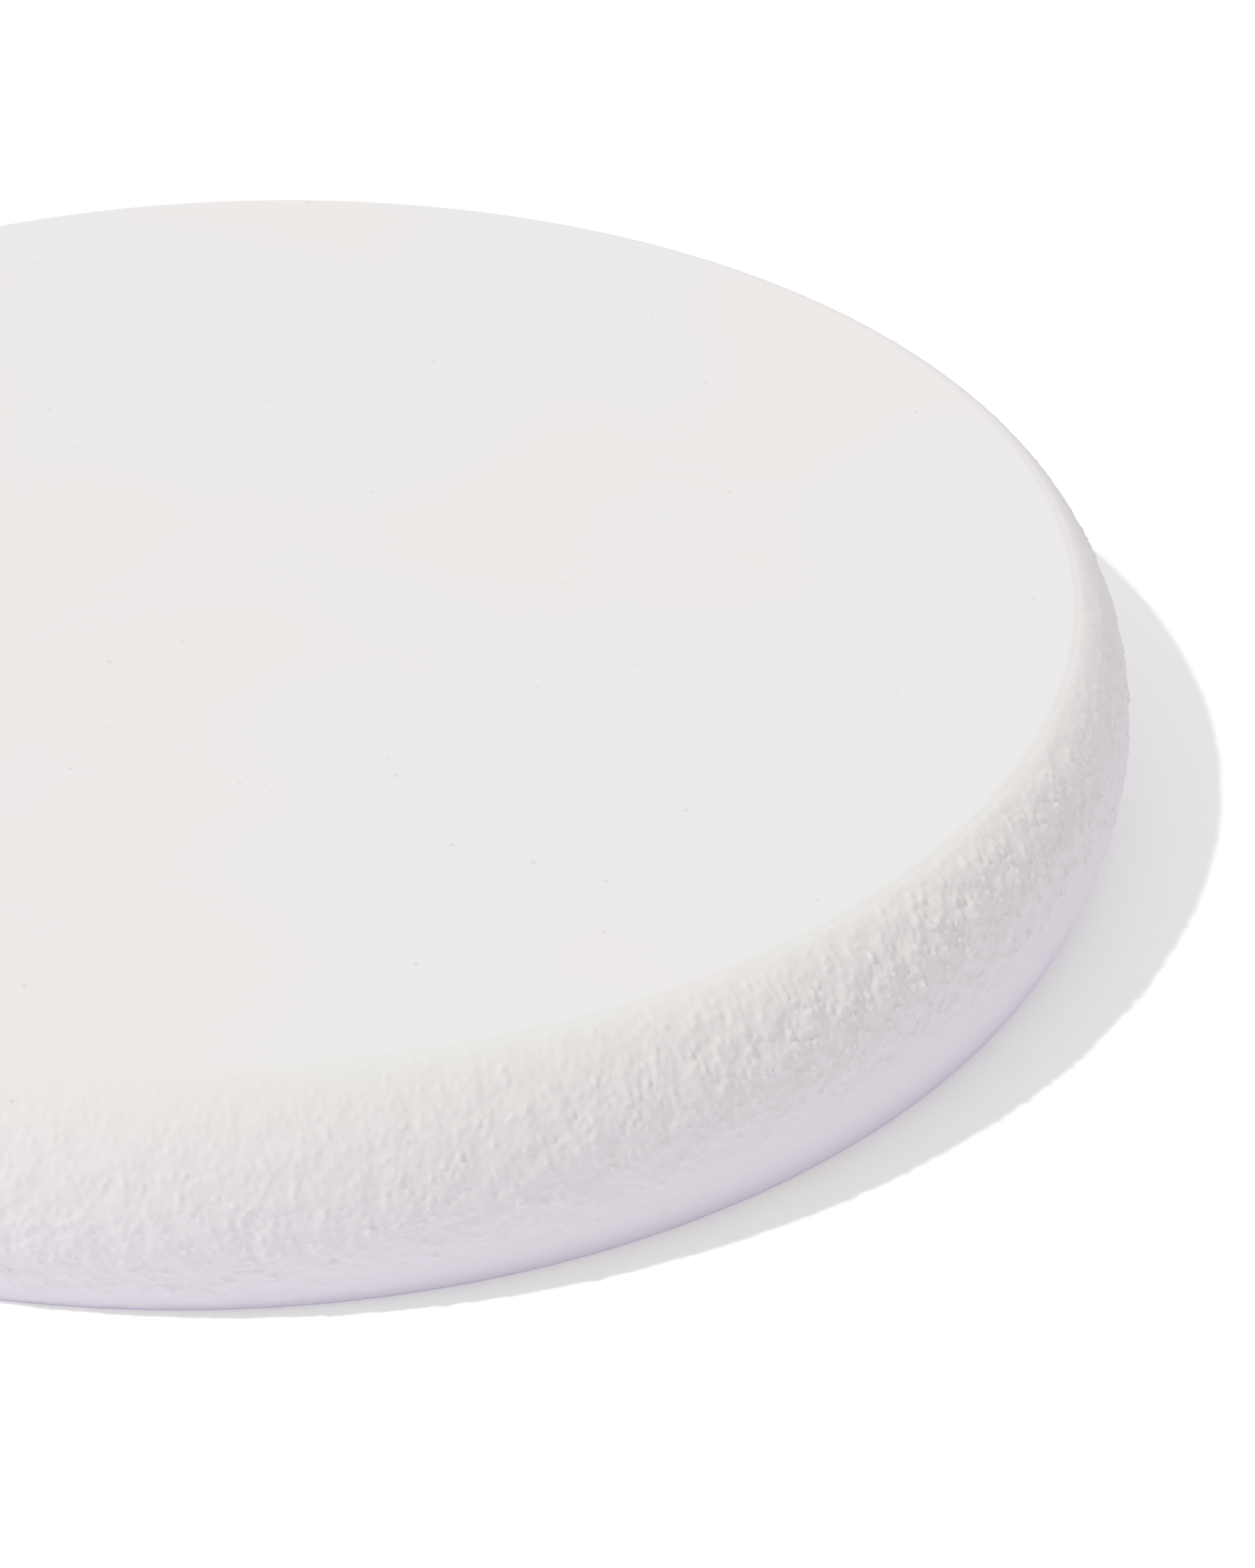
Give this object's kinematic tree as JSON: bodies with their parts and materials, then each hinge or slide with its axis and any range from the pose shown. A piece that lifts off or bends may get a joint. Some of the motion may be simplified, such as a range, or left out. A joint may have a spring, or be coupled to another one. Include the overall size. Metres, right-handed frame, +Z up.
{
  "type": "powder puff",
  "caption": "Round flat foam puff for putting face powder on the skin, with smooth flat faces and a rounded ground edge between them.",
  "frame": {"origin": "middle of the lower face, on the surface that the puff lies on", "axes": "+Z up through the thickness of the disc, along its axis of revolution; X and Y lie in the face and any direction is like another"},
  "size_m": [0.06, 0.06, 0.0072],
  "materials": {
    "foam": "matte"
  },
  "bodies": {
    "root": {"foam_disc": "foam"}
  },
  "joints": []
}
